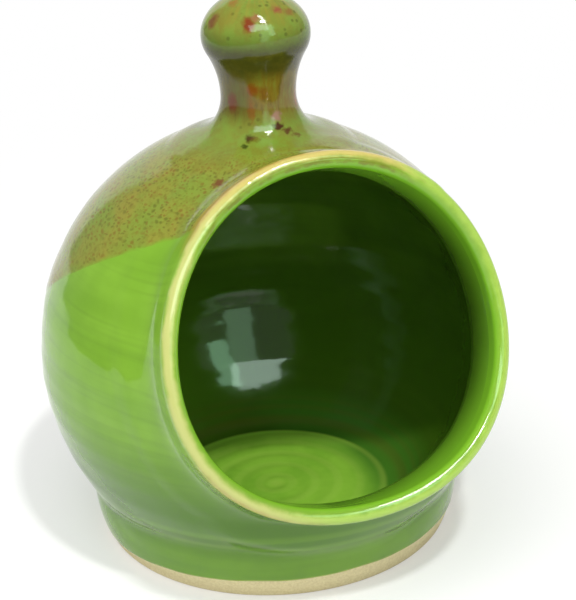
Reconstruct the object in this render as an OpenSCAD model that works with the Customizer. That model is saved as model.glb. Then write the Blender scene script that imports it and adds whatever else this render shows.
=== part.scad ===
// Wheel-thrown stoneware salt pig: a closed round pot with a side mouth, a luted
// collar and knob, a poured liner glaze, a green outer glaze and a speckled top dip.
// The pot stands on its foot ring, centred on Z, and its mouth faces -Y.

/* [Body] */
// Radius of the round body, bare clay
belly_r = 63.6; // [60:0.2:68]
// How far the round of the body would reach below the table, had it no foot
belly_cut = 11.1; // [8:0.1:14]
// Thickness of the thrown wall
wall_t = 5; // [4:0.25:6.5]

/* [Foot] */
// How far the foot's edge lies inside the top of the foot band
foot_inset = 2.5; // [1:0.1:5]
// Width of the small bevel turned on the foot's outer edge
foot_bevel = 0.7; // [0.3:0.1:1.5]
// Height of the soft throwing line that tops the foot band
waist_h = 16; // [14:0.2:19]
// How far the foot band swells out between its ends
band_swell = 0.9; // [0.4:0.1:1.6]
// Radius of the soft groove between the foot band and the round body
groove_r = 6; // [3:0.5:10]
// Width of the flat ring that the pot stands on
foot_ring_w = 7.9; // [5:0.1:14]
// Depth of the turned recess under the floor
recess_depth = 1.6; // [1.3:0.1:3]
// Radius of the cove where the recess meets the foot ring
recess_cove_r = 1.2; // [0.6:0.1:1.3]

/* [Floor] */
// Thickness of the floor over the recess
floor_t = 4.4; // [3.5:0.1:6]
// Radius of the cove between the floor and the wall
cove_r = 7; // [5:0.5:12]
// Number of throwing rings left in the floor
floor_rings = 5; // [3:1:7]
// Height of the throwing rings
floor_ring_rise = 0.5; // [0.2:0.1:0.9]

/* [Neck and knob] */
// Radius of the neck at its narrowest
neck_r = 9.3; // [8:0.1:11]
// Radius of the flare from the dome into the neck
flare_r = 13; // [10:0.5:16]
// How far below the narrowest of the neck the knob is luted on
knob_joint_drop = 6.6; // [4:0.1:8]
// Radius of the knob at its widest
knob_r = 13.7; // [12.4:0.1:16]
// Height of the knob's widest point above the narrowest of the neck
knob_rise = 16.3; // [13:0.1:20]
// Radius of the round under the knob's widest point
knob_under_r = 8; // [6:0.5:10]
// Height of the knob's crown above its widest point
crown_h = 10.6; // [8:0.1:14]

/* [Mouth] */
// Angle of the mouth's axis above the level, through the centre of the body
mouth_tilt = 22; // [18:0.5:22]
// How much smaller the radius of the mouth's lip is than the belly's
lip_inset = 17.9; // [16.6:0.1:21.6]
// Height of the collar's straight rim between its flare and the middle of the lip
rim_h = 4.9; // [2:0.1:6.5]
// Thickness of the rounded lip
lip_t = 3.6; // [3:0.1:4.6]
// Radius of the collar's flare from the lip to the body
collar_flare_r = 22; // [16:1:26]
// How deep the end of the flare is set below the surface of the body
collar_set = 0.6; // [0.4:0.1:1]

/* [Glaze] */
// Thickness of one coat of glaze
glaze_t = 0.4; // [0.3:0.05:0.6]
// Height of the edge of the green glaze above the table, on the turning axis
glaze_line_h = 3.8; // [3:0.1:6]
// Angle at which the edge of the green glaze runs down to the left
glaze_line_tilt = 2.4; // [0:0.2:2.6]
// How far under the top of the belly the edge of the speckled top dip crosses the turning axis
dip_drop = 34.1; // [26:0.1:42]
// Angle at which the edge of the top dip runs down to the back
dip_tilt = 32; // [20:1:38]

/* [Hidden] */
$fn = 144;

// Widest turn between the straight facets of a small round, in degrees
facet_turn = 9;
// Straight facets along each throwing ring
ring_facets = 6;
// Overrun of every cut
overrun = 1;
// Reach of the blocks that trim a shape, past the whole pot
far = 4 * belly_r;

clay = [0.84, 0.76, 0.60];
liner_green = [0.27, 0.50, 0.10];
apple_green = [0.53, 0.75, 0.24];
speckled_olive = [0.62, 0.60, 0.22];

// Direction of a vector, in degrees
function heading(v) = atan2(v.y, v.x);

// Points of an arc, from one angle to another
function arc(centre, radius, from, to) =
    let (steps = max(1, ceil(abs(to - from) / facet_turn)))
    [for (i = [0:steps])
        let (a = from + (to - from) * i / steps)
        centre + radius * [cos(a), sin(a)]];

// Radius and centre of the arc through two points that swells to the right of their line
function swell_radius(p, q, swell) =
    let (half = norm(q - p) / 2)
    (half * half + swell * swell) / (2 * swell);
function swell_centre(p, q, swell) =
    let (way = q - p)
    (p + q) / 2 + (swell_radius(p, q, swell) - swell) * [-way.y, way.x] / norm(way);

// The right-hand point that lies at two given distances from two given centres
function meet(a, reach_a, b, reach_b) =
    let (way = b - a, gap = norm(way),
        along = (gap * gap + reach_a * reach_a - reach_b * reach_b) / (2 * gap),
        off = sqrt(reach_a * reach_a - along * along))
    a + along * way / gap + off * [way.y, -way.x] / gap;

// Centres of the body's arcs, as radius and height
belly_h = belly_r - belly_cut;
belly_centre = [0, belly_h];
waist = [sqrt(belly_r * belly_r - pow(belly_h - waist_h, 2)), waist_h];
foot_r = waist.x - foot_inset;
foot_edge = [foot_r, foot_bevel];
recess_r = foot_r - foot_bevel - foot_ring_w;
band_centre = swell_centre(foot_edge, waist, band_swell);
band_r = swell_radius(foot_edge, waist, band_swell);
groove_centre = meet(band_centre, band_r + groove_r, belly_centre, belly_r + groove_r);

// The neck's flare is tangent to the body and to the narrowest of the neck
flare_x = neck_r + flare_r;
neck_h = belly_h + sqrt(pow(belly_r + flare_r, 2) - flare_x * flare_x);
flare_centre = [flare_x, neck_h];
flare_turn = asin(knob_joint_drop / flare_r);
joint_h = neck_h - knob_joint_drop;

// The neck's upper sweep is tangent to the narrowest of the neck and to the knob's under side
knob_overhang = knob_r - neck_r;
both_sweeps = (knob_rise * knob_rise + knob_overhang * knob_overhang) / (2 * knob_overhang);
neck_sweep_r = both_sweeps - knob_under_r;
neck_centre = [neck_r + neck_sweep_r, neck_h];
knob_h = neck_h + knob_rise;
knob_centre = [knob_r - knob_under_r, knob_h];

// Floor and hollow, with the cove tangent to both
floor_h = recess_depth + floor_t;
inner_r = belly_r - wall_t;
cove_h = floor_h + cove_r;
floor_r = sqrt(pow(inner_r - cove_r, 2) - pow(belly_h - cove_h, 2));
cove_centre = [floor_r, cove_h];
cove_way = (cove_centre - belly_centre) / norm(cove_centre - belly_centre);

// Lip and flare of the collar, as radius about the mouth's axis and distance along it
lip_round = lip_t / 2;
lip_r = belly_r - lip_inset;
bore_r = lip_r - lip_round;
seat_r = belly_r - collar_set;
collar_flare_x = lip_r + lip_round + collar_flare_r;
collar_flare_y = sqrt(pow(seat_r + collar_flare_r, 2) - collar_flare_x * collar_flare_x);
lip_reach = collar_flare_y + rim_h;
lip_centre = [lip_r, lip_reach];
collar_flare_centre = [collar_flare_x, collar_flare_y];
collar_root = (seat_r - wall_t / 2) * collar_flare_centre / norm(collar_flare_centre);

// Places a shape about the mouth's axis, measured from the centre of the body
module at_mouth() {
    translate([0, 0, belly_h]) rotate([90 - mouth_tilt, 0, 0]) children();
}

// Half outline of a ball about the centre of the body, between two heights
module ball_slice(radius, low, high) {
    intersection() {
        translate(belly_centre) circle(radius);
        translate([0, low]) square([far, high - low]);
    }
}

// The body filled solid, from the bevel of the foot to the knob's joint, under a coat
module body_mass(coat) {
    band = arc(band_centre, band_r + coat,
        heading(foot_edge - band_centre), heading(groove_centre - band_centre));
    groove = arc(groove_centre, groove_r - coat,
        heading(groove_centre - band_centre) + 180, heading(groove_centre - belly_centre) + 180);
    flare = arc(flare_centre, flare_r - coat,
        heading(belly_centre - flare_centre), flare_turn - 180);
    low = groove[len(groove) - 1].y;
    high = flare[0].y;
    rotate_extrude() {
        polygon(concat([[0, band[0].y]], band, groove, [belly_centre]));
        ball_slice(belly_r + coat, low, high);
        polygon(concat([belly_centre], flare, [[0, flare[len(flare) - 1].y]]));
    }
}

// The neck and knob, from the joint to the top of the crown, under a coat
module knob_mass(coat) {
    neck = arc(flare_centre, flare_r - coat, flare_turn - 180, -180);
    rotate_extrude() polygon(concat(
        [[0, neck[0].y]],
        neck,
        arc(neck_centre, neck_sweep_r - coat, 180, heading(knob_centre - neck_centre)),
        arc(knob_centre, knob_under_r + coat, heading(neck_centre - knob_centre), 0),
        [for (p = arc([0, 0], 1, 0, 90))
            [(knob_r + coat) * p.x, knob_h + (crown_h + coat) * p.y]]));
}

// The collar with its mouth filled, from the lip down into the body, under a coat
module collar_mass(coat) {
    at_mouth() rotate_extrude() {
        difference() {
            polygon([
                [0, collar_root.y],
                collar_root,
                collar_flare_centre,
                [collar_flare_x, lip_reach],
                [0, lip_reach]]);
            translate(collar_flare_centre) circle(collar_flare_r - coat);
            translate([lip_r + lip_round + coat, collar_flare_y]) square(far);
        }
        translate(lip_centre) circle(lip_round + coat);
    }
}

// Everything outside the hollow, under a coat
module outside_mass(coat) {
    body_mass(coat);
    knob_mass(coat);
    collar_mass(coat);
}

// The round hollow of the pot with the rings of its floor, inside a coat
module hollow(coat) {
    rings = floor_rings * ring_facets;
    cove_top = belly_h + (inner_r - coat) * cove_way.y;
    rotate_extrude() {
        polygon(concat(
            [for (i = [0:rings])
                let (share = i / rings)
                [floor_r * share,
                    floor_h + coat + floor_ring_rise * (1 - cos(360 * floor_rings * share)) / 2]],
            [cove_centre, [0, cove_h]]));
        intersection() {
            translate(cove_centre) circle(cove_r - coat);
            translate([floor_r, 0]) square([far, cove_top]);
        }
        ball_slice(inner_r - coat, cove_top, far);
    }
}

// The round passage through the lip and the wall, as cut in the clay
module throat() {
    at_mouth() cylinder(r = bore_r, h = far);
}

// The air inside the mouth, in from the top of the lip, inside a coat
module mouth_air(coat, top) {
    at_mouth() rotate_extrude() difference() {
        square([lip_r, top]);
        translate([bore_r - coat, -overrun]) square([far, lip_reach + overrun]);
        translate(lip_centre) circle(lip_round + coat);
    }
}

// The half of space above a tilted level
module above(level, side_tilt, back_tilt) {
    translate([0, 0, level]) rotate([back_tilt, side_tilt, 0])
        translate([-far / 2, -far / 2, 0]) cube(far);
}

// The thrown pot with its bevelled foot and turned recess
module body() {
    color(clay) difference() {
        union() {
            body_mass(0);
            cylinder(r1 = foot_r - foot_bevel, r2 = foot_r, h = foot_bevel);
        }
        turned_recess();
        hollow(0);
        throat();
    }
}

// The recess under the foot, with a cove at its edge
module turned_recess() {
    cove_middle = [recess_r - recess_cove_r, recess_depth - recess_cove_r];
    rotate_extrude() polygon(concat(
        [[0, -overrun], [recess_r, -overrun]],
        arc(cove_middle, recess_cove_r, 0, 90),
        [[0, recess_depth]]));
}

// The flared collar with its rounded lip, seated on the round body
module mouth_collar() {
    color(clay) difference() {
        collar_mass(0);
        body_mass(0);
        throat();
    }
}

// The knob with the upper half of its neck
module knob() {
    color(clay) knob_mass(0);
}

// Coat of the hollow and its floor, and of the inner side of the mouth up to the lip
module liner_glaze() {
    lip_top = lip_reach + lip_round + glaze_t;
    color(liner_green) {
        difference() {
            hollow(0);
            hollow(glaze_t);
            throat();
        }
        difference() {
            mouth_air(0, lip_top);
            mouth_air(glaze_t, far);
            hollow(glaze_t);
        }
    }
}

// One coat outside the body, collar and knob, over an earlier coat
module outside_coat(under, over) {
    difference() {
        outside_mass(over);
        outside_mass(under);
        at_mouth() cylinder(r = lip_r, h = far);
    }
}

// Green glaze outside, ending in a slanting line above the bare foot
module outer_glaze() {
    color(apple_green) intersection() {
        outside_coat(0, glaze_t);
        above(glaze_line_h, -glaze_line_tilt, 0);
    }
}

// Second, speckled dip over the dome, the top of the collar and the knob
module top_glaze() {
    color(speckled_olive) intersection() {
        outside_coat(glaze_t, 2 * glaze_t);
        above(belly_h + belly_r - dip_drop, 0, -dip_tilt);
    }
}

body();
mouth_collar();
knob();
liner_glaze();
outer_glaze();
top_glaze();
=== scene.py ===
"""Stoneware salt pig: a wheel-thrown round pot with a wide tilted mouth, a luted collar
and knob, apple green glaze inside and out, a speckled olive dip over the top and a bare
clay foot. Shapes are worked out in millimetres and written in metres."""

import math

import bpy
import numpy as np
from mathutils import Matrix, Vector


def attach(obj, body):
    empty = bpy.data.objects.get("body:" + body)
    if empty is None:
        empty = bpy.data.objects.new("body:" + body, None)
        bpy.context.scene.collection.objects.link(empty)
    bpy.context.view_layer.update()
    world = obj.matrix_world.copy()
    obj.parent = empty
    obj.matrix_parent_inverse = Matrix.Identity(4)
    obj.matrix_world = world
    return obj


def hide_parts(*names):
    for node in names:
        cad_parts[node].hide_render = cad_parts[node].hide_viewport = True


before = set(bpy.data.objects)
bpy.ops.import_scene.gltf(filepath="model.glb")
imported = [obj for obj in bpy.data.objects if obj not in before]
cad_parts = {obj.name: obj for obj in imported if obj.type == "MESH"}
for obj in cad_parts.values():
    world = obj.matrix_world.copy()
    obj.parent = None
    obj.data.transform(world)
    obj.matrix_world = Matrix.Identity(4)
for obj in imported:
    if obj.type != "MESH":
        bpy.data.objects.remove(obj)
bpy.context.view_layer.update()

MM = 0.001

# Body, foot and neck of the thrown pot
BELLY_R, BELLY_H, WALL_T = 63.6, 52.5, 5.0
FOOT_R, FOOT_BEVEL, WAIST_H, BAND_SWELL, GROOVE_R = 49.58, 0.7, 16.0, 0.9, 6.0
RECESS_R, RECESS_DEPTH, RECESS_COVE_R = 40.98, 1.6, 1.2
FLOOR_T, COVE_R, FLOOR_RINGS, FLOOR_RING_RISE = 4.4, 7.0, 5, 0.5
NECK_R, FLARE_R = 9.3, 13.0
KNOB_R, KNOB_RISE, KNOB_UNDER_R, CROWN_H = 13.7, 16.3, 8.0, 10.6

# Glaze: how thick a coat is, and the slanting plane of the top dip's edge
COAT = 0.4
DIP_H, DIP_LEAN_X, DIP_LEAN_Y = 82.2, -0.051, -0.636

# Mouth and its collar, whose flare is a circle turned round the mouth's axis. The flare's
# centre is given by its radius about that axis and by its distance from the belly's centre.
MOUTH_TILT = math.radians(22.0)
LIP_R, LIP_REACH, LIP_ROUND = 45.7, 53.84, 1.8
LIP_INNER_R, LIP_OUTER_R = LIP_R - LIP_ROUND - COAT, LIP_R + LIP_ROUND + COAT
COLLAR_FLARE_R, COLLAR_SET = 22.0, 0.6
FLARE_CENTRE_R = LIP_R + LIP_ROUND + COLLAR_FLARE_R
FLARE_CENTRE_FAR = BELLY_R - COLLAR_SET + COLLAR_FLARE_R

# How softly one surface runs into another: round the collar, how much more so in the
# groove, in the mouth's passage, and up the neck
COLLAR_BLEND, GROOVE_BLEND, PASSAGE_BLEND, NECK_BLEND = 1.3, 2.2, 1.6, 1.6

# How fast a flare falls away past its foot, in millimetres by the angle squared, and how
# deep a coat goes under the other one at the seam inside the lip
COLLAR_FALL, SKIRT_FALL, TUCK = 260.0, 120.0, 0.07

# The green coat's grid ends at this angle from straight down, below the glaze's edge, and
# the points of the lip count as this high over that edge
GRID_END, CLEAR_OF_EDGE = math.radians(43.8), 60.0

CENTRE = np.array([0.0, 0.0, BELLY_H])
MOUTH_AXIS = np.array([0.0, -math.cos(MOUTH_TILT), math.sin(MOUTH_TILT)])
MOUTH_SIDE = np.array([1.0, 0.0, 0.0])
MOUTH_UP = np.cross(MOUTH_AXIS, MOUTH_SIDE)


def ramp(x, start, end):
    """Runs from 0 at the start to 1 at the end, with level ends."""
    share = np.clip((x - start) / (end - start), 0.0, 1.0)
    return share * share * (3.0 - 2.0 * share)


def smooth_max(a, b, blend):
    """The larger of two lengths, raised by a parabola where they differ by less than twice
    the blend, so by half the blend where they cross."""
    near = np.maximum(1.0 - np.abs(a - b) / (2.0 * blend), 0.0)
    return np.maximum(a, b) + 0.5 * blend * near * near


def arc(centre, radius, start, end, steps):
    """Points of a circular arc, from one angle to another, in degrees."""
    a = np.radians(np.linspace(start, end, steps))
    return np.stack([centre[0] + radius * np.cos(a), centre[1] + radius * np.sin(a)], 1)


def straight(start, end, steps):
    """Points of a straight line, both of its ends among them."""
    return np.linspace(start, end, steps + 1)


def heading(v):
    """Angle of a vector from the first axis, in degrees."""
    return math.degrees(math.atan2(v[1], v[0]))


def band_and_groove():
    """Outline of the foot band and of the groove over it, as radius and height: an arc
    through the foot's edge and the waist, then a round groove tangent to it and to the belly."""
    p = np.array([FOOT_R, FOOT_BEVEL])
    q = np.array([math.sqrt(BELLY_R**2 - (BELLY_H - WAIST_H) ** 2), WAIST_H])
    way = q - p
    half = np.linalg.norm(way) / 2
    band_r = (half * half + BAND_SWELL**2) / (2 * BAND_SWELL)
    normal = np.array([-way[1], way[0]]) / np.linalg.norm(way)
    band_c = (p + q) / 2 + (band_r - BAND_SWELL) * normal
    belly_c = np.array([0.0, BELLY_H])
    between = belly_c - band_c
    gap = np.linalg.norm(between)
    a, b = band_r + GROOVE_R, BELLY_R + GROOVE_R
    along = (gap * gap + a * a - b * b) / (2 * gap)
    off = math.sqrt(a * a - along * along)
    side = np.array([between[1], -between[0]]) / gap
    groove_c = band_c + along * between / gap + off * side
    band = arc(band_c, band_r, heading(p - band_c), heading(groove_c - band_c), 300)
    start = heading(groove_c - band_c) + 180
    end = heading(groove_c - belly_c) + 180
    return band, arc(groove_c, GROOVE_R, start, end, 300)


def hollow_outline():
    """Outline of the glazed hollow: level floor, then the cove up to the round wall."""
    floor_h = RECESS_DEPTH + FLOOR_T
    inner_r = BELLY_R - WALL_T
    cove_h = floor_h + COVE_R
    floor_r = math.sqrt((inner_r - COVE_R) ** 2 - (BELLY_H - cove_h) ** 2)
    floor_top = floor_h + COAT
    level = straight((0.0, floor_top), (floor_r, floor_top), 99)[:-1]
    cove_end = heading((floor_r, cove_h - BELLY_H))
    cove = arc((floor_r, cove_h), COVE_R - COAT, -90, cove_end, 200)
    return floor_r, floor_top, np.vstack([level, cove])


def as_distances(outline):
    """An outline of radius and height, as angle from straight down and distance from the centre."""
    down = BELLY_H - outline[:, 1]
    return np.arctan2(outline[:, 0], down), np.hypot(outline[:, 0], down)


BAND, GROOVE = band_and_groove()
FOOT_ANGLES, FOOT_DISTANCES = as_distances(np.vstack([BAND, GROOVE[1:]]))
FLOOR_R, FLOOR_TOP, HOLLOW = hollow_outline()
HOLLOW_ANGLES, HOLLOW_DISTANCES = as_distances(HOLLOW)


def from_mouth(d):
    """Angle of each direction off the mouth's axis, and its clock angle from the right hand."""
    theta = np.arccos(np.clip(d @ MOUTH_AXIS, -1.0, 1.0))
    return theta, np.arctan2(d @ MOUTH_UP, d @ MOUTH_SIDE)


def from_down(d):
    """Angle of each direction from straight down."""
    return np.arccos(np.clip(-d[..., 2], -1.0, 1.0))


def about(d):
    """Angle of each direction or point round the turning axis, from the front to the right."""
    return np.arctan2(d[..., 0], -d[..., 1])


def outward(clock):
    """Directions away from the mouth's axis, by clock angle."""
    return np.cos(clock)[..., None] * MOUTH_SIDE + np.sin(clock)[..., None] * MOUTH_UP


def collar_distance(theta, coat):
    """Distance to the collar's flare: a circle round the mouth's axis, tangent to the belly,
    which falls away under the belly past its foot."""
    foot = math.asin(FLARE_CENTRE_R / FLARE_CENTRE_FAR)
    radius = COLLAR_FLARE_R - coat
    off = np.maximum(foot - theta, 0.0)
    off = np.minimum(off, math.asin(radius / FLARE_CENTRE_FAR) - 0.02)
    side = np.sqrt(radius**2 - (FLARE_CENTRE_FAR * np.sin(off)) ** 2)
    fall = COLLAR_FALL * np.maximum(theta - foot, 0.0) ** 2
    return FLARE_CENTRE_FAR * np.cos(off) - side - fall


def outer_distance(d, coat):
    """Distance from the centre to the outside under a coat: foot band, groove and belly,
    rounded into the collar, with soft throwing ridges and a slight lean round the belly."""
    theta, _ = from_mouth(d)
    body = np.interp(from_down(d), FOOT_ANGLES, FOOT_DISTANCES) + coat
    height = BELLY_R * d[..., 2]
    turn = about(d)
    ridges = 0.04 * np.sin(height / 1.15 + turn + 1.2 * np.sin(height / 9.0))
    ridges = ridges + 0.09 * np.sin(height / 3.4 + 2.0 * turn)
    lean = 0.22 * np.sin(2.0 * turn + 0.8) + 0.15 * np.sin(3.0 * turn + 2.1)
    above_groove, below_neck = ramp(height, -34.0, -26.0), ramp(height, 52.0, 34.0)
    body = body + above_groove * (ridges * below_neck + lean)
    blend = COLLAR_BLEND + GROOVE_BLEND * ramp(height, -22.0, -31.0)
    return smooth_max(body, collar_distance(theta, coat), blend)


def inner_distance(d):
    """Distance from the centre to the glazed inside: floor, cove and round wall, rounded
    into the straight passage of the mouth, with throwing ridges round the wall."""
    theta, _ = from_mouth(d)
    wall = np.interp(from_down(d), HOLLOW_ANGLES, HOLLOW_DISTANCES)
    height = BELLY_R * d[..., 2]
    ridges = 0.05 * np.sin(height / 1.25 + about(d)) + 0.06 * np.sin(height / 2.9)
    wall = wall + ridges * ramp(height, -40.0, -32.0)
    passage = LIP_INNER_R / np.sin(np.clip(theta, 0.3, 0.5 * math.pi))
    return smooth_max(wall, passage, PASSAGE_BLEND)


# The mouth's hand-made waver: how much wider and further out it is than a true circle, as the
# cosine and sine parts of its harmonics by clock angle, from the constant one up
WIDER = ((0.43, 0.0), (0.97, 1.19), (0.79, 0.43), (0.13, -0.67))
FURTHER = ((-1.48, 0.0), (-0.88, 0.16), (-0.78, -0.25), (-2.10, 0.0))


def harmonics(angle, parts):
    """The sum of the harmonics of an angle."""
    return sum(c * np.cos(k * angle) + s * np.sin(k * angle) for k, (c, s) in enumerate(parts))


def hand_made(points, d):
    """Carries points along with the mouth's waver, which is whole at the lip and dies away
    over the belly and before the foot."""
    theta, clock = from_mouth(d)
    share = ramp(np.degrees(theta), 68.0, 44.0) * ramp(np.degrees(from_down(d)), 54.0, 68.0)
    shift = harmonics(clock, WIDER)[..., None] * outward(clock)
    shift = shift + harmonics(clock, FURTHER)[..., None] * MOUTH_AXIS
    return points + share[..., None] * shift


def over_seam(along):
    """Runs from 0 to 1 over the seam inside the lip, by distance along the mouth's axis. The
    liner goes under the green coat past it, and the green coat under the liner before it."""
    return ramp(along - LIP_REACH, -3.2, -2.3)


def between_circles(mouth_angle, foot_angle, columns, shares):
    """Directions on lines that run from a circle about the mouth's axis to one about the
    foot's. A Moebius map of the stereographic plane makes both circles concentric, the
    lines are its spokes, and shares are their logarithmic distances from 0 to 1."""
    lean = 0.5 * math.pi - MOUTH_TILT
    low = math.tan((lean - mouth_angle) / 2)
    high = math.tan((lean + mouth_angle) / 2)
    edge = math.tan((math.pi - foot_angle) / 2)
    product = edge * edge
    total = 2 * (product + low * high) / (low + high)
    root = math.sqrt(total * total / 4 - product)
    p, q = total / 2 - root, total / 2 + root
    inner = math.log(abs((high - p) / (high - q)))
    outer = math.log(abs((edge - p) / (edge - q)))
    turn = np.linspace(0, 2 * math.pi, columns, endpoint=False)
    zeta = np.exp(inner + (outer - inner) * shares[:, None] + 1j * turn[None, :])
    w = (p - zeta * q) / (1 - zeta)
    m = np.abs(w) ** 2
    return np.stack([2 * w.imag / (1 + m), -2 * w.real / (1 + m), (1 - m) / (1 + m)], -1)


def turned(profile, columns):
    """A grid of points from an outline of radius and height turned about the upright axis."""
    turn = np.linspace(0, 2 * math.pi, columns, endpoint=False)
    r, h = profile[:, :1], np.repeat(profile[:, 1:], columns, 1)
    return np.stack([r * np.cos(turn), r * np.sin(turn), h], -1)


def grid_faces(rows, columns):
    """Four-sided faces of a grid whose columns close round."""
    i, j = np.meshgrid(np.arange(rows - 1) * columns, np.arange(columns), indexing="ij")
    k = (j + 1) % columns
    return np.stack([i + j, i + k, i + columns + k, i + columns + j], -1).reshape(-1, 4)


def grid_normals(p):
    """Unit normals of a grid of points whose columns close round, facing away from the centre."""
    along = np.gradient(p, axis=0)
    across = np.roll(p, -1, 1) - np.roll(p, 1, 1)
    n = np.cross(across, along)
    n = n / np.maximum(np.linalg.norm(n, axis=-1, keepdims=True), 1e-9)
    return n if ((p - CENTRE) * n).sum(-1).mean() > 0 else -n


def put_in_scene(name, data):
    """A new object of this name, in the scene."""
    thing = bpy.data.objects.new(name, data)
    bpy.context.scene.collection.objects.link(thing)
    return thing


def make_piece(name, points, attributes=None, flipped=False, keep=None, tip=None):
    """A smooth mesh from a grid of points in millimetres, with values by point. Only faces
    whose points are all kept stay, flipped turns the faces to the other side, and a tip
    closes the last row with a fan to one more point, which takes the last point's values."""
    rows, columns = points.shape[:2]
    faces = grid_faces(rows, columns)
    points = points.reshape(-1, 3)
    values = {key: grid.ravel() for key, grid in (attributes or {}).items()}
    if keep is not None:
        faces = faces[keep.ravel()[faces].all(1)]
        used = np.unique(faces)
        renumber = np.zeros(len(points), int)
        renumber[used] = np.arange(len(used))
        points, faces = points[used], renumber[faces]
        values = {key: column[used] for key, column in values.items()}
    polygons = faces.tolist()
    if tip is not None:
        ring = (rows - 1) * columns + np.arange(columns)
        fan = np.stack([ring, np.roll(ring, -1), np.full(columns, len(points))], 1)
        polygons += fan.tolist()
        points = np.vstack([points, tip])
        values = {key: np.append(column, column[-1]) for key, column in values.items()}
    if flipped:
        polygons = [polygon[::-1] for polygon in polygons]
    mesh = bpy.data.meshes.new(name)
    mesh.from_pydata((points * MM).tolist(), [], polygons)
    mesh.polygons.foreach_set("use_smooth", np.ones(len(mesh.polygons), bool))
    for key, column in values.items():
        layer = mesh.attributes.new(key, "FLOAT", "POINT")
        layer.data.foreach_set("value", column.astype(np.float32))
    mesh.update()
    return put_in_scene(name, mesh)


# Edge of the green glaze over the foot: degrees from the front to the right, and height
GLAZE_EDGE = np.array([
    (-180, 3.4), (-150, 2.9), (-120, 2.4), (-98, 2.4), (-85, 2.8), (-69, 3.9), (-52, 5.1),
    (-27, 5.9), (0, 6.2), (20, 6.1), (40, 5.9), (60, 5.8), (90, 5.1), (120, 4.3), (150, 3.8),
    (180, 3.4)])


def glaze_edge(turn):
    """Height of the glaze's edge: the listed heights, eased between, with a fine waver."""
    fine = np.radians(np.arange(-360, 361, 3.0))
    wrapped = (np.degrees(fine) + 180) % 360 - 180
    raw = np.interp(wrapped, GLAZE_EDGE[:, 0], GLAZE_EDGE[:, 1])
    kernel = np.hanning(9)
    eased = np.convolve(raw, kernel / kernel.sum(), mode="same")
    return np.interp(turn, fine, eased) + 0.10 * np.sin(11 * turn + 1) + 0.06 * np.sin(23 * turn)


def dip_rise(p):
    """Height of points over the wavering edge of the top dip."""
    turn = about(p)
    waver = 0.9 + 0.16 * np.sin(5 * turn + 0.6) + 0.10 * np.sin(9 * turn + 2.0)
    return p[..., 2] - (DIP_H + DIP_LEAN_X * p[..., 0] + DIP_LEAN_Y * p[..., 1]) + waver


def outside_grid(columns=600, lip_rows=26, rows=124):
    """The whole outside as one sleeve from the inner side of the lip to the foot's glaze
    edge: a passage, a round lip, then the outer distance along lines between the circles.
    The coat thins out to its edge over the foot and goes a little under the clay past it.
    Gives the points, how far round the lip each is (-1 inside, 0 at the crest, 1 outside,
    then on over the belly), and its height over the glaze's edge."""
    narrow = math.sqrt(FLARE_CENTRE_FAR**2 - FLARE_CENTRE_R**2)
    shares = np.linspace(0, 1, rows)
    shares = shares - 0.05 * np.sin(2 * math.pi * shares)
    d = between_circles(math.atan2(LIP_OUTER_R, narrow), GRID_END, columns, shares)
    passage = straight((LIP_INNER_R, LIP_REACH - 4.0), (LIP_INNER_R, LIP_REACH), 6)[:-1]
    roll = arc((LIP_R, LIP_REACH), LIP_ROUND + COAT, 180, 0, lip_rows)
    drop = straight((LIP_OUTER_R, LIP_REACH), (LIP_OUTER_R, narrow), 5)[1:-1]
    profile = np.repeat(np.vstack([passage, roll, drop])[:, None], columns, 1)
    x, y = profile[..., 0], profile[..., 1]
    _, clock = from_mouth(d[0])
    lip = x[..., None] * outward(clock) + y[..., None] * MOUTH_AXIS
    far = np.linalg.norm(lip, axis=-1)
    way = lip / far[..., None]
    outside = np.clip((x - LIP_R) / (LIP_ROUND + COAT), 0, 1)
    inside = np.clip((LIP_R - x) / (LIP_ROUND + COAT), 0, 1)
    far = far + outside * (smooth_max(far, BELLY_R + COAT, COLLAR_BLEND) - far)
    far = far + inside * (smooth_max(far, BELLY_R - WALL_T - COAT, PASSAGE_BLEND) - far)
    lip = way * (far + TUCK * (1 - over_seam(y)) * (x < LIP_R))[..., None]
    bare = d * outer_distance(d, 0.0)[..., None]
    over = bare[..., 2] + BELLY_H - glaze_edge(about(d))
    coat = COAT * np.sqrt(np.clip(over / 0.8, 0.0, 1.0)) - 0.16 * ramp(over, 0.0, -0.3)
    skin = d * (outer_distance(d, COAT) - COAT + coat)[..., None]
    points = hand_made(np.concatenate([lip, skin]) + CENTRE, np.concatenate([way, d]))
    round_lip = np.concatenate([
        np.full(len(passage), -1.0), np.linspace(-1.0, 1.0, lip_rows),
        1.0 + (LIP_REACH - drop[:, 1]) / 4.0, 2.3 + 20 * shares])
    level = np.concatenate([np.full(x.shape, CLEAR_OF_EDGE), over])
    return points, np.repeat(round_lip[:, None], columns, 1), level


points, round_lip, over_edge = outside_grid()
rise = dip_rise(points)
green_coat = make_piece("green_coat", points, {"lip": round_lip, "edge": over_edge, "dip": rise},
                        flipped=True)

# The top dip lies over the green coat and tucks under it at its edge and at the lip's crest
DIP_UNDER, DIP_OVER = 0.10, 0.36
lift = DIP_OVER * ramp(rise, -1.0, 3.0) * ramp(round_lip, -0.15, 0.35) - DIP_UNDER
top_dip = make_piece("top_dip", points + grid_normals(points) * lift[..., None],
                     {"lip": round_lip, "dip": rise}, flipped=True,
                     keep=(rise > -2.5) & (round_lip > -0.5))


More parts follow.
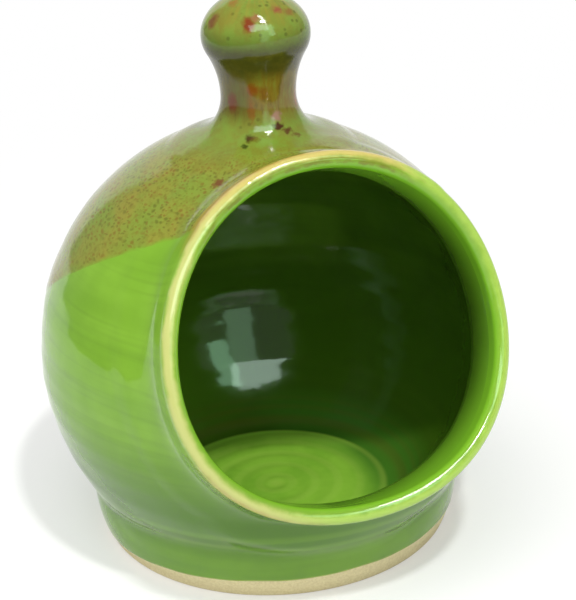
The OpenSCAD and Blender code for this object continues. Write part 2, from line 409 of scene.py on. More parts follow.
def liner_grid(columns=300, rows=200, floor_rows=70):
    """The inside as one cup: from under the lip along lines between the mouth and the floor,
    then in to the middle of the floor over its throwing rings, a spiral of humps that the
    glaze has filled to two fifths of their height. Gives the points and how far in over the
    floor each is, from 0 to 1."""
    mouth_angle = math.atan2(LIP_INNER_R, LIP_REACH - 1.6)
    floor_angle = math.atan2(FLOOR_R, BELLY_H - FLOOR_TOP)
    d = between_circles(mouth_angle, floor_angle, columns, np.linspace(0, 1, rows))
    far = inner_distance(d)
    far = far + TUCK * over_seam((d * far[..., None]) @ MOUTH_AXIS)
    wall = hand_made(d * far[..., None] + CENTRE, d)
    ring = wall[-1]
    turn = np.arctan2(ring[:, 1], ring[:, 0])
    share = np.linspace(1, 0, floor_rows + 1)[1:-1, None]
    spiral = share * FLOOR_RINGS + turn / (2 * math.pi)
    strength = ramp(share, 1.0, 0.88) * ramp(share, 0.0, 0.1)
    hump = 0.4 * FLOOR_RING_RISE * 0.5 * (1 - np.cos(2 * math.pi * spiral)) * strength
    r = share * np.hypot(ring[:, 0], ring[:, 1])
    floor = np.stack([r * np.cos(turn), r * np.sin(turn), FLOOR_TOP + hump], -1)
    depth = np.concatenate([np.zeros(rows), 1 - share[:, 0]])
    return np.concatenate([wall, floor]), np.repeat(depth[:, None], columns, 1)


points, floor_depth = liner_grid()
liner_coat = make_piece("liner_coat", points, {"floor": floor_depth}, tip=(0.0, 0.0, FLOOR_TOP))


def knob_grid(columns=160):
    """Neck and knob turned about the axis under both coats: arcs for the flare, the sweep of
    the neck and the knob's underside, and an oval crown. The skirt under the flare follows
    the dome, a little above it where the neck rises and under it farther out and towards the
    mouth. Gives the points and the knob's top."""
    coat = 2 * COAT
    flare_x = NECK_R + FLARE_R
    neck_h = BELLY_H + math.sqrt((BELLY_R + FLARE_R) ** 2 - flare_x**2)
    knob_h = neck_h + KNOB_RISE
    overhang = KNOB_R - NECK_R
    sweep = (KNOB_RISE**2 + overhang**2) / (2 * overhang) - KNOB_UNDER_R
    sweep_c, under_c = (NECK_R + sweep, neck_h), (KNOB_R - KNOB_UNDER_R, knob_h)
    tangent = heading((-flare_x, BELLY_H - neck_h)) % 360
    flare = arc((flare_x, neck_h), FLARE_R - coat, tangent, 180, 50)
    meeting = heading(np.subtract(under_c, sweep_c))
    neck = arc(sweep_c, sweep - coat, 180, meeting, 40)
    under = arc(under_c, KNOB_UNDER_R + coat, meeting - 180, 0, 40)
    crown = arc((0, 0), 1.0, 0, 89.0, 60) * [KNOB_R + coat, CROWN_H + coat] + [0, knob_h]
    flare_foot = math.degrees(math.atan2(flare[0, 0], flare[0, 1] - BELLY_H))
    angle = np.radians(np.linspace(27, flare_foot, 30))[:-1]
    skirt_r = BELLY_R + coat - SKIRT_FALL * (angle - angle[-1]) ** 2
    skirt = np.stack([skirt_r * np.sin(angle), BELLY_H + skirt_r * np.cos(angle)], 1)
    profile = np.vstack([skirt, flare, neck[1:], under[1:], crown[1:]])
    p = turned(profile - [0, BELLY_H], columns)
    far = np.linalg.norm(p, axis=-1)
    d = p / far[..., None]
    theta, _ = from_mouth(d)
    off_top = np.degrees(np.arccos(d[..., 2]))
    dome = outer_distance(d, COAT) + 0.24
    settle = ramp(off_top, 26.0, 21.0)
    follow = dome + (smooth_max(far, dome, NECK_BLEND) - dome) * settle
    follow = follow - 0.02 - 0.05 * (1 - settle) - 3.0 * ramp(np.degrees(theta), 50.0, 44.0)
    below_neck = np.arange(len(profile))[:, None] < len(skirt) + len(flare) - 12
    far = np.where(below_neck, far + (follow - far) * ramp(off_top, 8.0, 10.0), far)
    return hand_made(d * far[..., None] + CENTRE, d), knob_h + CROWN_H + coat


points, knob_top = knob_grid()
knob_coat = make_piece("knob_coat", points, tip=(0.0, 0.0, knob_top))


def clay_foot_grid(columns=240):
    """The bare clay turned about the axis: the band from under the glaze down to the bevel,
    the flat ring that it stands on, then the recess with its cove."""
    up = BAND[BAND[:, 1] < 9.0][::-6]
    bevel = [(FOOT_R - 0.12, FOOT_BEVEL - 0.25), (FOOT_R - 0.35, 0.18), (FOOT_R - FOOT_BEVEL, 0.0)]
    ring = straight((FOOT_R - FOOT_BEVEL, 0.0), (RECESS_R, 0.0), 7)[1:]
    cove_c = (RECESS_R - RECESS_COVE_R, RECESS_DEPTH - RECESS_COVE_R)
    cove = arc(cove_c, RECESS_COVE_R, 0, 90, 12)
    under = straight((cove_c[0], RECESS_DEPTH), (0.4, RECESS_DEPTH), 59)[1:]
    return turned(np.vstack([up, bevel, ring, cove, under]), columns)


clay_foot = make_piece("clay_foot", clay_foot_grid(), flipped=True, tip=(0.0, 0.0, RECESS_DEPTH))


# Colours by their display values, 0 to 255
TINTS = {
    # The green glaze where it lies thick, its paler tone, which also gives the painted highlight
    # lines along the groove, its tone low on the belly, and at its end
    "thick green": (110, 156, 36), "pale green": (126, 172, 48), "low green": (74, 114, 26),
    "glaze end": (180, 188, 92),
    # The dip, the haze in it, its plainer green about the neck, and its two sorts of dash
    "olive": (122, 142, 48), "ochre olive": (138, 134, 48), "olive haze": (106, 112, 32),
    "plain olive": (112, 142, 50), "rust dash": (120, 80, 26), "dark dash": (92, 92, 26),
    # The lip: inside it, on both its shoulders, along its crest and outside it
    "lip inside": (120, 178, 42), "lip shoulder": (142, 178, 58), "lime crest": (166, 200, 86),
    "cream crest": (190, 194, 116), "straw crest": (208, 188, 110), "lip line": (112, 112, 34),
    "lip amber": (182, 144, 70),
    # The knob and its neck, with painted shade on the knob's lower half and under it, and a
    # painted dark reflection on the neck's left side
    "cloudy olive": (120, 116, 38), "crown amber": (150, 128, 44), "knob painted shade": (66, 84, 16),
    "fleck": (74, 78, 20), "neck amber": (120, 96, 24), "neck brown": (88, 78, 18),
    "neck painted dark reflection": (60, 66, 18), "under knob painted shade": (58, 60, 12),
    # The liner on the wall and in the cove, with painted light on the wall low on the left and
    # on the cove's right
    "thick liner": (60, 92, 20), "thin liner": (74, 108, 26), "run liner": (66, 102, 20),
    "wall painted light": (96, 144, 36), "passage green": (116, 172, 42), "cove painted light": (72, 132, 38),
    "cove brown": (98, 104, 34),
    # The liner on the floor, far paler than the wall partly as painted light, with painted shade
    # at its right, a painted glint along its right edge and painted light at its back
    "floor green": (136, 194, 56), "floor lime": (152, 208, 66), "floor ring": (172, 216, 84),
    "floor middle": (184, 222, 90), "floor painted shade": (64, 124, 36), "floor rim painted glint": (150, 180, 70),
    "floor back painted light": (178, 236, 84),
    # The clay and the lines that turning left in it
    "clay": (204, 190, 144), "pale clay": (222, 210, 168), "clay lines": (196, 178, 134),
}


def linear(r, g, b):
    """A colour from its display values, 0 to 255, for a colour socket."""
    values = [((c / 255 + 0.055) / 1.055) ** 2.4 if c > 10 else c / 255 / 12.92 for c in (r, g, b)]
    return (*values, 1.0)


def tint(name):
    """A named tint, for a colour socket."""
    return linear(*TINTS[name])


class Nodes:
    """Short ways to add and join the nodes of one material or of one shared effect."""

    def __init__(self, tree):
        self.tree = tree
        tree.nodes.clear()

    def add(self, kind, inputs=None, **settings):
        node = self.tree.nodes.new("ShaderNode" + kind)
        for key, value in settings.items():
            setattr(node, key, value)
        for key, value in (inputs or {}).items():
            self.put(node.inputs[key], value)
        return node

    def put(self, socket, value):
        """Joins another node's output to a socket, or sets its value."""
        if isinstance(value, bpy.types.NodeSocket):
            self.tree.links.new(value, socket)
        else:
            socket.default_value = value

    def attribute(self, name):
        return self.add("Attribute", attribute_name=name).outputs["Fac"]

    def effect(self, group, **inputs):
        """Places a shared effect with this material's own values, and gives its outputs."""
        return self.add("Group", inputs, node_tree=group).outputs

    def math(self, operation, *values):
        return self.add("Math", dict(enumerate(values)), operation=operation).outputs[0]

    def vector(self, operation, *values):
        node = self.add("VectorMath", dict(enumerate(values)), operation=operation)
        return node.outputs["Value" if operation in ("LENGTH", "DOT_PRODUCT") else "Vector"]

    def join(self, x=0.0, y=0.0, z=0.0):
        return self.add("CombineXYZ", {0: x, 1: y, 2: z}).outputs[0]

    def split(self, vector):
        return self.add("SeparateXYZ", {0: vector}).outputs

    def channels(self, colour):
        return self.add("SeparateColor", {0: colour}).outputs

    def wrapped(self, turn, up):
        """A place for noise that closes round the pot: the turn as a point of a circle."""
        return self.join(self.math("SINE", turn), self.math("COSINE", turn), up)

    def ramp(self, value, low, high, out_low=0.0, out_high=1.0):
        """Runs from one output to the other as the value does from low to high, which may
        be the larger, with level ends."""
        inputs = {"Value": value, "From Min": low, "From Max": high,
                  "To Min": out_low, "To Max": out_high}
        return self.add("MapRange", inputs, interpolation_type="SMOOTHSTEP").outputs[0]

    def times(self, *values):
        product = values[0]
        for value in values[1:]:
            product = self.math("MULTIPLY", product, value)
        return product

    def mix(self, share, a, b):
        return self.add("Mix", {0: share, 6: a, 7: b}, data_type="RGBA").outputs[2]

    def lay(self, colour, name, *shares):
        """A named tint laid over a colour, by the product of its shares."""
        return self.mix(self.times(*shares), colour, tint(name))

    def noise(self, vector, scale, detail=3.0, roughness=0.55, output="Fac"):
        inputs = {"Vector": vector, "Scale": scale, "Detail": detail, "Roughness": roughness}
        return self.add("TexNoise", inputs).outputs[output]


def shared_effect(name, inputs, outputs):
    """A node group with named sockets, and the nodes inside it. Inputs are a dict of name
    to first value: a colour, a number, or None for a place. Outputs give each one's kind."""
    group = bpy.data.node_groups.new(name, "ShaderNodeTree")
    sockets, kinds = group.interface, {tuple: "Color", float: "Float", type(None): "Vector"}
    for key, value in inputs.items():
        kind = "NodeSocket" + kinds[type(value)]
        socket = sockets.new_socket(key, in_out="INPUT", socket_type=kind)
        if value is not None:
            socket.default_value = value
    for key, kind in outputs.items():
        sockets.new_socket(key, in_out="OUTPUT", socket_type="NodeSocket" + kind)
    n = Nodes(group)
    given = group.nodes.new("NodeGroupInput").outputs
    return group, n, given, group.nodes.new("NodeGroupOutput").inputs


# In the effects and materials, x, y, z and radius are in millimetres, and turn and rise in radians


def place_effect():
    """Object coordinates in millimetres, and the same point unrolled off the pot: its turn
    round the axis from the front and its rise up the belly's arc, both in radians, and its
    distance from the axis in millimetres."""
    group, n, _, out = shared_effect("place_on_the_pot", {},
                                     {"Place": "Vector", "Unrolled": "Vector"})
    place = n.vector("MULTIPLY", n.add("TexCoord").outputs["Object"], (1000.0, 1000.0, 1000.0))
    x, y, z = n.split(place)
    turn = n.math("ARCTAN2", x, n.math("MULTIPLY", y, -1.0))
    radius = n.vector("LENGTH", n.vector("MULTIPLY", place, (1.0, 1.0, 0.0)))
    rise = n.math("ARCTAN2", n.math("SUBTRACT", z, BELLY_H), radius)
    n.put(out["Place"], place)
    n.put(out["Unrolled"], n.join(turn, rise, radius))
    return group


def green_effect():
    """Apple green: broad soft bands left by the throwing, drawn out round the pot, faint
    mottling, darker over the lower belly and less so on the band, and two faint painted
    highlight lines along the edges of the groove."""
    group, n, given, out = shared_effect(
        "thrown_green", {"Place": None, "Unrolled": None, "Deep": tint("thick green"),
                         "Pale": tint("pale green"), "Low": tint("low green")},
        {"Colour": "Color", "Ripple": "Float"})
    turn, rise, _ = n.split(given["Unrolled"])
    _, _, z = n.split(given["Place"])
    bands = n.noise(n.wrapped(turn, n.times(rise, 9.0)), 0.9, 2.0)
    lines = n.noise(n.wrapped(turn, n.times(rise, 34.0)), 1.0, 1.0)
    mottle = n.noise(given["Place"], 0.07, 3.0)
    share = n.math("ADD", n.times(n.ramp(bands, 0.3, 0.7), 0.5),
                   n.times(n.ramp(mottle, 0.3, 0.7), 0.5))
    colour = n.mix(share, given["Deep"], given["Pale"])
    colour = n.mix(n.times(n.ramp(lines, 0.45, 0.7), 0.16), colour, given["Low"])
    # Mixed towards the low tint over the lower belly, less on the band
    low = n.times(n.ramp(z, 60.0, 26.0), n.ramp(z, 11.0, 19.0, 0.4, 0.95))
    colour = n.mix(low, colour, given["Low"])
    # Painted highlight: two pale lines along the edges of the groove
    groove = n.math("ADD", n.times(n.ramp(z, 16.2, 17.2), n.ramp(z, 19.0, 17.6)),
                    n.times(n.ramp(z, 20.0, 21.0), n.ramp(z, 23.4, 21.6)))
    n.put(out["Colour"], n.mix(n.times(groove, 0.22), colour, given["Pale"]))
    n.put(out["Ripple"], n.times(lines, 0.012))
    return group


def speckle_effect():
    """Speckled olive: mottled olive and amber, with short rust and dark dashes drawn out
    round the pot, one in most cells of a grid of cells stretched round the axis, which fade
    to plain green about the foot of the neck."""
    group, n, given, out = shared_effect(
        "speckled_olive_dip", {"Place": None, "Unrolled": None, "Dashes": 0.60},
        {"Colour": "Color", "Ripple": "Float"})
    place = given["Place"]
    turn, rise, radius = n.split(given["Unrolled"])
    flat = n.join(n.times(turn, 25.0), n.times(rise, 56.0))
    stray = n.noise(place, 0.35, 2.0, 0.5, "Color")
    flat = n.vector("MULTIPLY_ADD", stray, (1.6, 2.0, 0.0), flat)
    cells = n.add("TexVoronoi", {"Vector": flat, "Scale": 0.86, "Randomness": 0.85},
                  voronoi_dimensions="2D").outputs
    pick, tone, size = n.channels(cells["Color"])
    reach = n.ramp(size, 0.0, 1.0, 0.24, 0.50)
    dash = n.ramp(n.math("DIVIDE", cells["Distance"], reach), 1.1, 0.25)
    patchy = n.ramp(n.noise(place, 0.11, 3.0), 0.34, 0.58, 0.5, 1.0)
    away = n.times(n.ramp(radius, 15.0, 23.0), n.ramp(rise, 0.45, 0.95, 0.7, 1.1))
    dash = n.times(dash, n.ramp(pick, 0.92, 0.84), patchy, away, given["Dashes"])
    drift = n.noise(place, 0.10, 5.0, 0.65)
    haze = n.noise(place, 0.8, 3.0)
    colour = n.lay(tint("olive"), "ochre olive", n.ramp(drift, 0.34, 0.66))
    colour = n.lay(colour, "olive haze", n.ramp(haze, 0.42, 0.66, 0.0, 0.40))
    near_neck = n.ramp(n.math("ADD", radius, n.times(haze, 9.0)), 30.0, 19.0, 0.0, 0.75)
    colour = n.lay(colour, "plain olive", near_neck)
    rust = n.lay(tint("rust dash"), "dark dash", n.ramp(tone, 0.35, 0.6))
    n.put(out["Colour"], n.mix(dash, colour, rust))
    n.put(out["Ripple"], n.math("MULTIPLY_ADD", dash, -0.04, n.times(haze, 0.06)))
    return group


def skin_effect():
    """Height of a fired glaze's surface in millimetres: slow swells where it flowed, a fine
    orange peel over them, and the ripple of what lies under it."""
    group, n, given, out = shared_effect(
        "fired_skin", {"Place": None, "Swell": 0.25, "Peel": 0.012, "Ripple": 0.0},
        {"Height": "Float"})
    swell = n.times(n.noise(given["Place"], 0.10, 2.0), given["Swell"])
    peel = n.times(n.noise(given["Place"], 1.1, 2.0), given["Peel"])
    n.put(out["Height"], n.math("ADD", n.math("ADD", swell, peel), given["Ripple"]))
    return group


PLACE, GREEN, SPECKLE, SKIN = place_effect(), green_effect(), speckle_effect(), skin_effect()


def new_material(name):
    """A new material and its nodes, none of them in place yet."""
    material = bpy.data.materials.new(name)
    material.use_nodes = True
    return material, Nodes(material.node_tree)


def start_material(name):
    """A new material and its nodes, with its place on the pot."""
    material, n = new_material(name)
    at = n.effect(PLACE)
    return material, n, at["Place"], at["Unrolled"]


def finish_material(n, colour, height, roughness):
    """A surface from a colour, a height in millimetres and a roughness."""
    bump = n.add("Bump", {"Strength": 0.5, "Distance": MM, "Height": height})
    shader = n.add("BsdfPrincipled", {
        "Base Color": colour, "Roughness": roughness, "IOR": 1.5, "Normal": bump.outputs[0]})
    n.put(n.add("OutputMaterial").inputs[0], shader.outputs[0])


def finish_glaze(n, colour, place, look, **settings):
    """A glossy glaze: its fired skin over the ripple of its look."""
    skin = n.effect(SKIN, Place=place, Ripple=look["Ripple"], **settings)
    finish_material(n, colour, skin["Height"], roughness=0.09)


def crest_looks(n, colour, place, lip):
    """The lip's colour: bright green inside it, pale along its crest (cream on the left, lime
    on the right and low, straw round the top), amber outside it at the top and low on the
    left, and a thin broken olive line inside the crest at the top."""
    x, _, z = n.split(place)
    ragged = n.math("SUBTRACT", n.noise(place, 0.22, 4.0), 0.5)
    left = n.ramp(x, -4.0, -30.0)
    top = n.times(n.ramp(z, 98.0, 109.0), n.ramp(x, 31.0, 19.0))
    spot = n.math("SUBTRACT", n.math("MULTIPLY_ADD", ragged, 0.7, lip), n.times(top, 0.28))
    colour = n.lay(colour, "lip inside", n.ramp(lip, 0.0, -0.7))
    wide = n.times(n.ramp(spot, -0.9, 0.0), n.ramp(spot, 1.9, 0.7))
    colour = n.lay(colour, "lip shoulder", wide, 0.55)
    pale = n.lay(tint("lime crest"), "cream crest", left)
    pale = n.lay(pale, "straw crest", top, n.ramp(x, -36.0, -14.0))
    crest = n.times(n.ramp(spot, -0.35, 0.2), n.ramp(spot, 0.95, 0.45))
    colour = n.mix(n.times(crest, n.ramp(left, 0.0, 1.0, 0.85, 0.95)), colour, pale)
    line = n.times(n.ramp(spot, -0.70, -0.48), n.ramp(spot, -0.10, -0.34))
    colour = n.lay(colour, "lip line", top, line, n.ramp(ragged, -0.12, 0.06, 0.3, 0.8))
    outside = n.times(n.ramp(spot, 0.25, 0.75), n.ramp(spot, 2.0, 1.15))
    warm = n.math("MAXIMUM", n.times(top, 0.85), n.times(left, n.ramp(z, 58.0, 42.0), 0.45))
    return n.lay(colour, "lip amber", outside, warm)


# Rust marks on the knob, its neck and the foot of the neck, and on the dome: each has its
# centre and its reach along x, y and z, its display colour and how strong it is
KNOB_MARKS = (
    ((-12.4, -2.2, 147.6), (2.6, 2.4, 2.6), (140, 70, 36), 0.85),
    ((-5.8, -10.6, 147.6), (1.9, 2.6, 3.2), (156, 60, 20), 0.95),
    ((-3.9, -10.8, 149.6), (1.2, 2.0, 1.6), (190, 100, 80), 0.7),
    ((2.8, -10.4, 150.8), (2.4, 2.4, 1.5), (176, 84, 62), 0.85),
    ((5.6, -10.0, 149.4), (2.2, 2.4, 1.2), (166, 104, 50), 0.7),
    ((-7.3, -3.1, 152.6), (2.0, 2.2, 1.8), (196, 108, 40), 0.7),
    ((-9.5, -5.0, 148.0), (4.5, 4.0, 4.0), (160, 140, 44), 0.5),
    ((10.0, -6.0, 145.0), (3.0, 3.0, 1.6), (104, 112, 26), 0.6),
    ((6.5, -10.0, 142.8), (2.6, 2.0, 1.0), (84, 96, 20), 0.6),
    ((-4.9, -8.6, 129.8), (2.0, 2.0, 2.2), (160, 80, 12), 0.85),
    ((-2.2, -9.0, 129.0), (1.6, 2.0, 2.4), (150, 92, 24), 0.6),
    ((-5.5, -9.0, 124.5), (1.1, 2.2, 4.6), (160, 98, 20), 0.75),
    ((-8.9, -4.2, 125.6), (1.7, 2.2, 3.6), (132, 58, 22), 0.85),
    ((-8.4, -4.0, 134.4), (2.2, 2.4, 2.4), (118, 66, 50), 0.5),
    ((8.3, -6.0, 125.0), (1.6, 2.0, 3.2), (170, 92, 34), 0.75),
    ((4.5, -8.5, 130.5), (3.6, 2.0, 3.0), (120, 106, 24), 0.5),
    ((0.9, -10.4, 122.2), (1.6, 2.0, 1.9), (206, 150, 140), 0.75),
    ((0.9, -11.7, 119.7), (1.7, 2.0, 1.0), (86, 34, 8), 0.95),
    ((3.2, -12.9, 118.6), (1.8, 2.0, 0.8), (104, 52, 16), 0.9),
    ((5.0, -14.2, 117.7), (1.8, 2.0, 0.7), (120, 70, 26), 0.75),
    ((-7.4, -11.1, 117.6), (1.5, 1.8, 1.3), (84, 54, 10), 0.95),
    ((-5.9, -11.6, 117.3), (1.4, 1.8, 0.8), (128, 96, 30), 0.6),
    ((-9.4, -12.5, 116.2), (1.0, 1.4, 0.8), (58, 72, 14), 0.85),
    ((3.0, 9.0, 126.0), (2.2, 2.4, 4.2), (140, 70, 24), 0.8),
    ((8.0, 4.0, 121.0), (2.0, 2.4, 2.2), (118, 62, 22), 0.8),
    ((-4.0, 11.5, 148.0), (2.6, 2.6, 2.4), (150, 66, 26), 0.85),
    ((11.5, 5.5, 149.0), (2.4, 2.4, 3.0), (150, 74, 40), 0.85),
    ((1.5, 1.0, 153.0), (3.6, 2.6, 3.0), (158, 78, 30), 0.7),
    ((-10.0, 8.0, 118.8), (2.2, 2.2, 1.4), (96, 50, 14), 0.8),
)
DOME_MARKS = (((-19.6, -20.2, 110.2), (2.6, 2.2, 0.9), (140, 72, 36), 0.85),
              ((16.0, 24.0, 108.0), (2.4, 1.6, 1.2), (132, 70, 30), 0.7))

# How far noise pushes the edge of a mark about, and how much deeper a mark is laid than the
# colour that it shows under the glossy coat
MARK_STRAY, MARK_DEPTH = 2.2, 0.78


def rust_marks(n, colour, place, marks):
    """Soft-edged marks in the glaze, with their edges made ragged by noise."""
    stray = n.noise(place, 0.7, 3.0, 0.5, "Color")
    place = n.vector("MULTIPLY_ADD", stray, (MARK_STRAY,) * 3,
                     n.vector("SUBTRACT", place, (MARK_STRAY / 2,) * 3))
    for centre, reach, shown, strength in marks:
        off = n.vector("DIVIDE", n.vector("SUBTRACT", place, centre), reach)
        share = n.ramp(n.vector("LENGTH", off), 1.15, 0.35, 0.0, strength)
        colour = n.mix(share, colour, linear(*[MARK_DEPTH * c for c in shown]))
    return colour


def make_green_material():
    """Apple green with the lip's colours, and a thin yellow line where it ends over the foot."""
    material, n, place, unrolled = start_material("apple_green_glaze")
    look = n.effect(GREEN, Place=place, Unrolled=unrolled)
    colour = crest_looks(n, look["Colour"], place, n.attribute("lip"))
    colour = n.lay(colour, "glaze end", n.ramp(n.attribute("edge"), 1.0, 0.1))
    finish_glaze(n, colour, place, look)
    return material


def make_dip_material():
    """The dip over the dome and the collar's top, which ends in a soft wavering edge."""
    material, n, place, unrolled = start_material("speckled_olive_dip")
    green = n.effect(GREEN, Place=place, Unrolled=unrolled)["Colour"]
    look = n.effect(SPECKLE, Place=place, Unrolled=unrolled)
    waver = n.times(n.math("SUBTRACT", n.noise(place, 0.12, 4.0), 0.5), 3.0)
    over = n.ramp(n.math("ADD", n.attribute("dip"), waver), -0.4, 1.6)
    colour = rust_marks(n, n.mix(over, green, look["Colour"]), place, DOME_MARKS)
    colour = crest_looks(n, colour, place, n.attribute("lip"))
    finish_glaze(n, colour, place, look)
    return material


def make_knob_material():
    """The dip over the knob: amber streaks run down the neck, painted shade darkens the knob's
    lower half and under it, a painted dark reflection lies on the neck's left side, and rust
    marks break through."""
    material, n, place, unrolled = start_material("speckled_olive_knob")
    look = n.effect(SPECKLE, Place=place, Unrolled=unrolled)
    turn, _, _ = n.split(unrolled)
    x, _, z = n.split(place)
    run = n.noise(n.wrapped(turn, n.times(z, 0.02)), 7.0, 4.0, 0.7)
    cloudy = n.noise(place, 0.24, 4.0, 0.65)
    colour = n.lay(look["Colour"], "cloudy olive", n.ramp(cloudy, 0.40, 0.62, 0.0, 0.55))
    crown = n.ramp(z, 144.0, 151.0)
    colour = n.lay(colour, "crown amber", crown, n.ramp(run, 0.40, 0.65), 0.45)
    # Painted shade on the knob's lower half
    painted_lower_shade = n.times(n.ramp(z, 148.0, 140.0), n.ramp(z, 130.0, 138.0))
    colour = n.lay(colour, "knob painted shade", painted_lower_shade, 0.85)
    flecks = n.add("TexVoronoi", {"Vector": place, "Scale": 0.42}).outputs
    rare = n.ramp(n.channels(flecks["Color"])[0], 0.50, 0.42)
    above_foot = n.ramp(z, 116.0, 122.0)
    fleck = n.times(n.ramp(flecks["Distance"], 0.30, 0.12), rare, above_foot)
    colour = n.lay(colour, "fleck", fleck, 0.6)
    neck = n.times(n.ramp(z, 119.0, 125.0), n.ramp(z, 143.0, 133.0))
    colour = n.lay(colour, "neck amber", neck, n.ramp(run, 0.30, 0.55, 0.45, 0.9))
    colour = n.lay(colour, "neck brown", neck, n.ramp(run, 0.52, 0.68), 0.7)
    # Painted dark reflection on the neck's left side
    colour = n.lay(colour, "neck painted dark reflection", neck, n.ramp(x, -3.0, -8.0), 0.55)
    # Painted shade under the knob, mottled by the cloudy noise
    under = n.times(n.ramp(z, 131.0, 136.0), n.ramp(z, 143.0, 139.5))
    colour = n.lay(colour, "under knob painted shade", under, n.ramp(cloudy, 0.30, 0.55, 0.6, 1.0), 0.9)
    colour = rust_marks(n, colour, place, KNOB_MARKS)
    finish_glaze(n, colour, place, look, Swell=0.12)
    return material


def make_liner_material():
    """Deep green on the wall, with painted light on it low on the left and on the cove's right,
    and brighter towards the mouth; over the floor paler, partly as painted light, most on its
    rings and in its middle, with painted light at its back, painted shade at its right and a
    painted glint along its right edge; brown patches run round the cove."""
    material, n, place, unrolled = start_material("liner_green_glaze")
    floor = n.attribute("floor")
    x, y, z = n.split(place)
    from_centre = n.vector("SUBTRACT", place, (0.0, 0.0, BELLY_H))
    out = n.vector("DOT_PRODUCT", from_centre, tuple(MOUTH_AXIS))
    look = n.effect(GREEN, Place=place, Unrolled=unrolled, Deep=tint("thick liner"),
                    Pale=tint("thin liner"), Low=tint("run liner"))

    # The floor's greens are far paler than the wall's: partly the glaze's own tone, partly painted
    # light falling on the floor through the mouth
    middle = n.lay(tint("floor green"), "floor lime", n.ramp(n.noise(place, 0.08, 3.0), 0.3, 0.7))
    rings = n.math("SINE", n.times(floor, 2 * math.pi * FLOOR_RINGS))
    middle = n.lay(middle, "floor ring", n.ramp(rings, -0.2, 1.0, 0.0, 0.3))
    middle = n.lay(middle, "floor middle", n.ramp(floor, 0.88, 1.0, 0.0, 0.5))
    # Painted shade on the floor's right, a painted glint along its right edge, and painted light at
    # its back
    for name, side, outer, share in (
            ("floor painted shade", n.ramp(x, 10.0, 34.0), n.ramp(floor, 0.38, 0.08), 0.9),
            ("floor rim painted glint", n.ramp(x, 14.0, 30.0), n.ramp(floor, 0.11, 0.05), 0.45),
            ("floor back painted light", n.ramp(y, 4.0, 24.0), n.ramp(floor, 0.26, 0.05), 0.75)):
        middle = n.lay(middle, name, side, outer, share)

    wall = look["Colour"]
    # Painted light on the wall low on the left and on the cove's right
    wall = n.lay(wall, "wall painted light", n.ramp(x, 16.0, -20.0), n.ramp(z, 62.0, 20.0), 0.75)
    wall = n.lay(wall, "cove painted light", n.ramp(x, 0.0, 24.0), n.ramp(z, 17.0, 8.0), 0.8)
    wall = n.lay(wall, "passage green", n.ramp(out, 36.0, 52.0))
    colour = n.mix(n.ramp(floor, 0.0, 0.05), wall, middle)
    streak = n.ramp(n.noise(n.join(0.0, 0.0, z), 0.45, 0.0), 0.4, 0.7)
    cove = n.times(n.ramp(z, 15.0, 11.0), streak)
    colour = n.lay(colour, "cove brown", cove, n.ramp(floor, 0.01, 0.0), 0.4)
    finish_glaze(n, colour, place, look)
    return material


def make_clay_material():
    """Bare stoneware: fine sandy grain and faint lines left by turning the foot."""
    material, n, place, unrolled = start_material("bare_stoneware")
    turn, _, radius = n.split(unrolled)
    _, _, z = n.split(place)
    grain = n.noise(place, 1.4, 5.0, 0.65)
    drawn_out = n.join(n.times(turn, 0.4), n.times(radius, 1.1), n.times(z, 2.4))
    lines = n.noise(drawn_out, 1.0, 3.0)
    colour = n.lay(tint("clay"), "pale clay", n.ramp(grain, 0.3, 0.7))
    colour = n.lay(colour, "clay lines", n.ramp(lines, 0.5, 0.75, 0.0, 0.3))
    height = n.math("ADD", n.times(grain, 0.10), n.times(lines, 0.15))
    finish_material(n, colour, height, roughness=0.85)
    return material


for piece, material, slot, nodes in (
        (green_coat, make_green_material(), "apple_green", ("outer_glaze", "mouth_collar")),
        (top_dip, make_dip_material(), "speckled_olive", ("top_glaze",)),
        (knob_coat, make_knob_material(), "speckled_olive", ("knob",)),
        (liner_coat, make_liner_material(), "liner_green", ("liner_glaze",)),
        (clay_foot, make_clay_material(), "stoneware", ("body",))):
    piece.data.materials.append(material)
    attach(piece, "root")
    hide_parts(*nodes)


WHITE = (1.0, 1.0, 1.0)

# Rectangles of light: turn from the front and rise in degrees, distance from the pot, width
# and height in metres, power, whether mirror images show it, whether it lights things, and
# its colour. The window's panes and the lamp's glare are only seen in the glaze, and the
# window's light and the sky only light the pot.
LIGHTS = {
    "lamp": (2.0, 62.0, 1.4, 0.09, 0.09, 9.0, True, True, WHITE),
    "window_middle": (-2.5, 19.4, 1.35, 0.38, 0.85, 1.9, True, False, (0.55, 1.0, 0.66)),
    "window_right": (13.8, 33.4, 1.4, 0.30, 0.80, 3.0, True, False, (0.50, 1.0, 0.64)),
    "window_top": (-12.0, 46.9, 1.35, 0.82, 0.45, 6.6, True, False, (0.74, 1.0, 0.86)),
    "lamp_glare": (10.0, 67.0, 1.4, 0.05, 0.60, 3.2, True, False, WHITE),
    "window_light": (-13.0, 32.0, 1.3, 0.60, 1.10, 2.8, False, True, WHITE),
    "sky": (-70.0, 60.0, 2.4, 2.2, 2.2, 26.0, False, True, WHITE),
}
LIT_POINT = Vector((0, 0, 0.06))

# The camera fitted to the photo: where it is in metres, its axes, and its focal length as
# pixels of a picture whose longer side is 600
CAMERA_PLACE = Vector((-0.164742, -0.428531, 0.271857))
CAMERA_RIGHT = Vector((0.92195, -0.38552, -0.03716))
CAMERA_UP = Vector((0.18982, 0.36612, 0.911))
CAMERA_AHEAD = Vector((0.33761, 0.84695, -0.41073))
FOCAL_PIXELS, PICTURE_PIXELS, SENSOR_MM = 1799.18, 600, 36.0


def seen_directly(n):
    """Two masks: 1 for rays from the camera, and 1 for those and for mirrored ones too. Both
    are 0 for the light that falls on things."""
    path = n.add("LightPath").outputs
    mirrored = n.math("MAXIMUM", path["Is Camera Ray"], path["Is Glossy Ray"])
    return path["Is Camera Ray"], n.math("MAXIMUM", mirrored, path["Is Transmission Ray"])


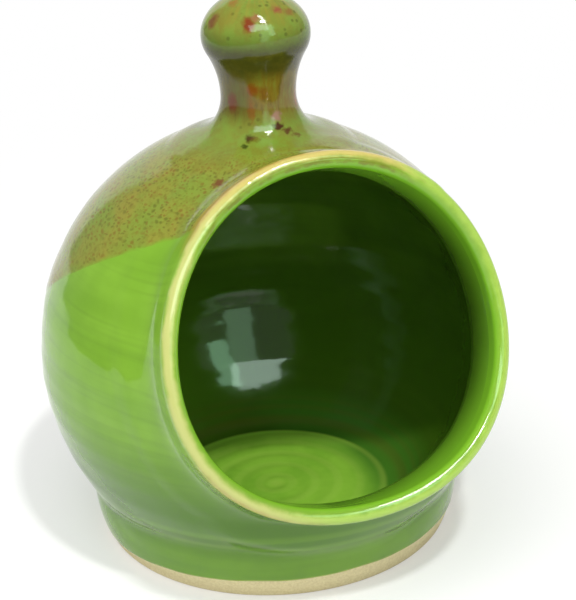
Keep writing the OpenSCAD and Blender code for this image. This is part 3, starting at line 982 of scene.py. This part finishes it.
def make_floor(half_width=3.0):
    """A level white floor. It takes shadows near the pot and turns plain white away from it.
    In mirror images it is dimmer far to the left."""
    corners = [(-1, -1), (1, -1), (1, 1), (-1, 1)]
    mesh = bpy.data.meshes.new("floor")
    mesh.from_pydata([(half_width * x, half_width * y, 0) for x, y in corners], [], [(0, 1, 2, 3)])
    floor = put_in_scene("floor", mesh)
    material, n = new_material("pale_floor")
    camera_ray, seen = seen_directly(n)
    spot = n.add("TexCoord").outputs["Object"]
    away = n.ramp(n.vector("LENGTH", spot), 0.07, 0.40, 0.30, 1.0)
    strength = n.math("MAXIMUM", camera_ray, n.ramp(n.split(spot)[0], -0.68, -0.56, 0.3, 1.0))
    near = n.add("BsdfDiffuse", {"Color": (0.95, 0.95, 0.94, 1)})
    far = n.add("Emission", {"Color": (*WHITE, 1), "Strength": strength})
    mixed = n.add("MixShader", {
        0: n.times(seen, away), 1: near.outputs[0], 2: far.outputs[0]})
    n.put(n.add("OutputMaterial").inputs[0], mixed.outputs[0])
    mesh.materials.append(material)


def make_surround():
    """A white surround: a dim even light on things; where it is seen, bright low down and
    halfway up behind the pot to the right, dimmer above, and white at the floor's far edge."""
    world = bpy.data.worlds.new("surround")
    bpy.context.scene.world = world
    world.use_nodes = True
    n = Nodes(world.node_tree)
    camera_ray, seen = seen_directly(n)
    across, back, height = n.split(n.add("TexCoord").outputs["Generated"])
    behind = n.times(n.ramp(back, 0.20, 0.45), n.ramp(across, -0.30, -0.17))
    above = n.math("SUBTRACT", height, n.ramp(behind, 0.0, 1.0, -0.08, 0.52))
    backdrop = n.math("MAXIMUM", n.ramp(above, -0.02, 0.03, 1.0, 0.30),
                      n.times(camera_ray, n.ramp(height, 0.05, 0.0)))
    dim = n.add("Background", {0: (*WHITE, 1), 1: 0.5})
    bright = n.add("Background", {0: (*WHITE, 1), 1: backdrop})
    mixed = n.add("MixShader", {0: seen, 1: dim.outputs[0], 2: bright.outputs[0]})
    n.put(n.add("OutputWorld").inputs[0], mixed.outputs[0])


def make_light(name, turn, rise, distance, width, height, power, mirrored, lighting, colour):
    """One rectangle of light, aimed at the pot."""
    turn, rise = math.radians(turn), math.radians(rise)
    level = math.cos(rise)
    way = Vector((math.sin(turn) * level, -math.cos(turn) * level, math.sin(rise)))
    lamp = bpy.data.lights.new(name, "AREA")
    lamp.color = colour
    lamp.shape, lamp.size, lamp.size_y, lamp.energy = "RECTANGLE", width, height, power
    holder = put_in_scene(name, lamp)
    holder.location = LIT_POINT + distance * way
    holder.rotation_euler = (-way).to_track_quat("-Z", "Y").to_euler()
    holder.visible_glossy, holder.visible_diffuse = mirrored, lighting


def make_camera():
    """The camera of the photo."""
    lens = bpy.data.cameras.new("camera")
    camera = put_in_scene("camera", lens)
    lens.sensor_width, lens.sensor_fit = SENSOR_MM, "AUTO"
    lens.lens = FOCAL_PIXELS / PICTURE_PIXELS * SENSOR_MM
    lens.clip_start, lens.clip_end = 0.01, 20.0
    axes = Matrix((CAMERA_RIGHT, CAMERA_UP, -CAMERA_AHEAD)).transposed().to_4x4()
    camera.matrix_world = Matrix.Translation(CAMERA_PLACE) @ axes
    bpy.context.scene.camera = camera


make_floor()
make_surround()
for name, settings in LIGHTS.items():
    make_light(name, *settings)
make_camera()
bpy.context.scene.view_settings.view_transform = "Standard"
